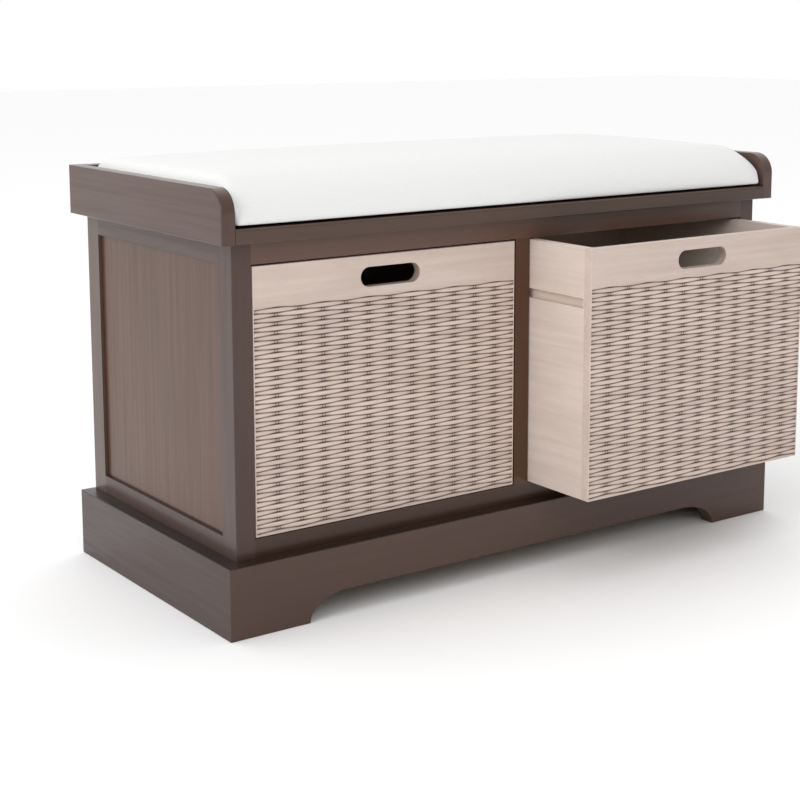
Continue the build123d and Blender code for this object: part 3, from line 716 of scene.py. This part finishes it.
# ---- cushion ----
PAD_PROUD = 3.0 * MM  # the cover is squeezed out towards the end rails
PAD_LIP = 2.5 * MM  # height of the cover's lower edge, over the base board's side
PAD_TUCK = 1.5 * MM  # how far the cloth turns in under that edge
TUCK_RUN = 30.0 * MM  # over which that turn fades out
PAD_RISE = 45.0 * MM  # from there to the brow, before the filling swells it
PAD_DOME, DOME_POWER = 3.0 * MM, 0.7  # and how much more at the middle
FRONT_SLOPE = (56.0 * MM, 1.5)  # run of the front's long slope, and its curve's exponent
UPRIGHT_SLOPE = (22.0 * MM, 3.0)  # the ends and back stand nearly upright
PAD_MITRE = 4.0  # higher is a sharper crease where two sides meet
PAD_CORNER = 8.0 * MM  # radius in plan
PAD_EDGE_LINES = (1, 2.5, 4.5, 7, 10, 13, 16.5, 20.5, 25, 30, 36, 43, 50)  # mm in from each edge
PAD_SPACING = 8.0 * MM  # of the mesh's lines over the rest
PRESSURE = 0.33
STIFFNESS = 15
SIM_FRAMES = 24
FOLD = 13.0 * MM  # width of the cloth folded in under the base board, from the pad's outline
FOLD_THICK = 1.6 * MM


def pad_height(x, y, low, high):
    """The pad's height over its lower edge at a point of its plan."""
    spread = 1.0
    for distance, (run, power) in (
        (y - low.y, FRONT_SLOPE),
        (high.y - y, UPRIGHT_SLOPE),
        (x - low.x, UPRIGHT_SLOPE),
        (high.x - x, UPRIGHT_SLOPE),
    ):
        outer = max(0.0, 1 - distance / run)
        share = max(1 - outer**power, 1e-9) ** (1 / power)
        spread += share**-PAD_MITRE - 1
    along, across = (x - low.x) / (high.x - low.x), (y - low.y) / (high.y - low.y)
    bow = max(0.0, math.sin(math.pi * along) * math.sin(math.pi * across))
    return PAD_LIP + PAD_RISE * spread ** (-1 / PAD_MITRE) + PAD_DOME * bow**DOME_POWER


def pad_lines(start, end):
    """Places of the mesh's lines between two edges, closer together near both."""
    near = [0.0, *(d * MM for d in PAD_EDGE_LINES)]
    span = end - start
    count = round((span - 2 * near[-1]) / PAD_SPACING)
    middle = [near[-1] + (span - 2 * near[-1]) * k / count for k in range(1, count)]
    return [start + d for d in near + middle] + [end - d for d in reversed(near)]


def tuck(place, low, high):
    """A place along one axis moved in a little, most of all at the edges."""
    share = max(0.0, 1 - min(place - low, high - place) / TUCK_RUN)
    return place + math.copysign(PAD_TUCK * share, (low + high) / 2 - place)


def round_corner(x, y, low, high):
    """A point of the square plan moved in so that the plan's corners are round."""
    centre = ((low.x + high.x) / 2, (low.y + high.y) / 2)
    u = max(0.0, abs(x - centre[0]) - (high.x - low.x) / 2 + PAD_CORNER)
    v = max(0.0, abs(y - centre[1]) - (high.y - low.y) / 2 + PAD_CORNER)
    if u == 0 or v == 0:
        return x, y
    shrink = 1 - max(u, v) / math.hypot(u, v)
    return x - math.copysign(u * shrink, x - centre[0]), y - math.copysign(v * shrink, y - centre[1])


def pad_block(low, high):
    """The pad as it is cut, its cover folded in underneath, and how many points are on its top."""
    xs, ys = pad_lines(low.x, high.x), pad_lines(low.y, high.y)
    points = []
    for x in xs:
        for y in ys:
            height = pad_height(x, y, low, high)
            points.append((*round_corner(x, y, low, high), low.z + height))
    for x in xs:
        for y in ys:
            reach = min(x - low.x, high.x - x, y - low.y, high.y - y)
            lift = FOLD_THICK if reach > FOLD - 0.5 * MM else 0.0
            inner = tuck(x, low.x, high.x), tuck(y, low.y, high.y)
            points.append((*round_corner(*inner, low, high), low.z + lift))
    wide = len(ys)
    under = len(xs) * wide
    faces = []
    for i in range(len(xs) - 1):
        for j in range(wide - 1):
            a, b = i * wide + j, (i + 1) * wide + j
            faces.append((a, b, b + 1, a + 1))
            faces.append((under + a, under + a + 1, under + b + 1, under + b))
    last = len(xs) - 1
    rim = [i * wide for i in range(last)] + [last * wide + j for j in range(wide - 1)]
    rim += [i * wide + wide - 1 for i in range(last, 0, -1)] + list(range(wide - 1, 0, -1))
    for a, b in zip(rim, rim[1:] + rim[:1]):
        faces.append((a, under + a, under + b, b))
    mesh = bpy.data.meshes.new("cushion_cover")
    mesh.from_pydata(points, [], faces)
    mesh.update()
    return mesh, under


def positions(mesh):
    """The mesh's points, one row each."""
    flat = np.zeros(len(mesh.vertices) * 3, np.float32)
    mesh.vertices.foreach_get("co", flat)
    return flat.reshape(-1, 3).astype(float)


def bake_modifiers(obj):
    """The object's mesh becomes what its modifiers make of it."""
    depsgraph = bpy.context.evaluated_depsgraph_get()
    made = bpy.data.meshes.new_from_object(obj.evaluated_get(depsgraph))
    obj.modifiers.clear()
    old = obj.data
    obj.data = made
    bpy.data.meshes.remove(old)


def cushion():
    """A stuffed pad on its base board: the cut block, swelled by cloth pressure."""
    low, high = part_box("cushion_pad")
    low.x, high.x = low.x - PAD_PROUD, high.x + PAD_PROUD
    mesh, top_count = pad_block(low, high)
    cover = bpy.data.objects.new("cushion_cover", mesh)
    scene.collection.objects.link(cover)
    start = positions(mesh)
    held = [i for i in range(len(start)) if i >= top_count or start[i, 2] < low.z + 2 * PAD_LIP]
    cover.vertex_groups.new(name="held").add(held, 1.0, "REPLACE")
    cloth = cover.modifiers.new("cloth", "CLOTH")
    cloth.settings.use_pressure = True
    cloth.settings.uniform_pressure_force = PRESSURE
    cloth.settings.quality = 5
    cloth.settings.tension_stiffness = STIFFNESS
    cloth.settings.compression_stiffness = STIFFNESS
    cloth.settings.bending_stiffness = 0.5
    cloth.settings.air_damping = 8.0
    cloth.settings.vertex_group_mass = "held"
    cloth.settings.effector_weights.gravity = 0.0
    cloth.collision_settings.use_self_collision = False
    cloth.collision_settings.use_collision = False
    cloth.point_cache.frame_start, cloth.point_cache.frame_end = 1, SIM_FRAMES
    for step in range(1, SIM_FRAMES + 1):
        scene.frame_set(step)
    bake_modifiers(cover)
    scene.frame_set(1)
    swollen = positions(cover.data)
    swollen[:, 0] = np.clip(swollen[:, 0], low.x, high.x)
    swollen[:, 1] = np.clip(swollen[:, 1], low.y, high.y)
    cover.data.vertices.foreach_set("co", swollen.astype(np.float32).ravel())
    cover.data.update()
    finer = cover.modifiers.new("finer", "SUBSURF")
    finer.levels = finer.render_levels = 1
    bake_modifiers(cover)
    cover.data.polygons.foreach_set("use_smooth", [True] * len(cover.data.polygons))
    cover.data.materials.clear()
    cover.data.materials.append(shared["cushion_fabric"])
    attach(cover, "cushion")
    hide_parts("cushion_pad")


cushion()

# ---- floor, sky and lights ----
FLOOR_HALF = 14.0
FLOOR_DROP = -0.0004
floor_mesh = bpy.data.meshes.new("floor")
corners = [(x * FLOOR_HALF, y * FLOOR_HALF, FLOOR_DROP) for x, y in ((-1, -1), (1, -1), (1, 1), (-1, 1))]
floor_mesh.from_pydata(corners, [], [(0, 1, 2, 3)])
floor = bpy.data.objects.new("floor", floor_mesh)
scene.collection.objects.link(floor)
graph = Graph("floor")
speckle = graph.mix(graph.noise(graph.coords, 30.0, 3.0), tone((0.955,) * 3), tone((0.97,) * 3))
floor_mesh.materials.append(graph.finish(Base_Color=speckle, Roughness=0.9))

FRONT_SKY = 0.47
OVERHEAD_SKY = 1.42
world = bpy.data.worlds.new("studio")
scene.world = world
world.use_nodes = True
sky_nodes = world.node_tree
sky = next(n for n in sky_nodes.nodes if n.type == "BACKGROUND")
direction = sky_nodes.nodes.new("ShaderNodeTexCoord").outputs["Generated"]
parts = sky_nodes.nodes.new("ShaderNodeSeparateXYZ")
sky_nodes.links.new(direction, parts.inputs[0])


def fade(part, low, high, to_low, to_high):
    """A smooth change of brightness along one axis of the sky."""
    node = sky_nodes.nodes.new("ShaderNodeMapRange")
    node.interpolation_type = "SMOOTHSTEP"
    for key, value in zip(("From Min", "From Max", "To Min", "To Max"), (low, high, to_low, to_high)):
        node.inputs[key].default_value = value
    sky_nodes.links.new(parts.outputs[part], node.inputs["Value"])
    return node.outputs["Result"]


def sky_math(operation, a, b):
    """Two of the sky's values joined by one operation."""
    node = sky_nodes.nodes.new("ShaderNodeMath")
    node.operation = operation
    sky_nodes.links.new(a, node.inputs[0])
    sky_nodes.links.new(b, node.inputs[1])
    return node.outputs[0]


# the studio is white behind the bench, dimmer in front of it and brightest overhead, and its
# backdrop reads white all round
brightness = sky_math(
    "MULTIPLY", fade("Y", -0.5, 0.35, FRONT_SKY, 1.0), fade("Z", 0.25, 0.8, 1.0, OVERHEAD_SKY)
)
seen = sky_nodes.nodes.new("ShaderNodeLightPath").outputs["Is Camera Ray"]
sky_nodes.links.new(sky_math("MAXIMUM", brightness, seen), sky.inputs["Strength"])
sky.inputs["Color"].default_value = (1.0, 1.0, 1.0, 1.0)


LIT_POINT = (0, 0, 0.25)


def softbox(name, at, size, watts):
    """A rectangular light that faces the middle of the bench."""
    light = bpy.data.objects.new(name, bpy.data.lights.new(name, "AREA"))
    light.data.shape, light.data.size, light.data.size_y = "RECTANGLE", *size
    light.data.energy = watts
    light.location = at
    light.rotation_mode = "QUATERNION"
    light.rotation_quaternion = (Vector(LIT_POINT) - Vector(at)).to_track_quat("-Z", "Y")
    scene.collection.objects.link(light)


softbox("key", (-5.0, -1.7, 3.0), (3.2, 3.2), 110)
softbox("fill", (-0.8, -2.8, 1.9), (2.4, 1.6), 19)
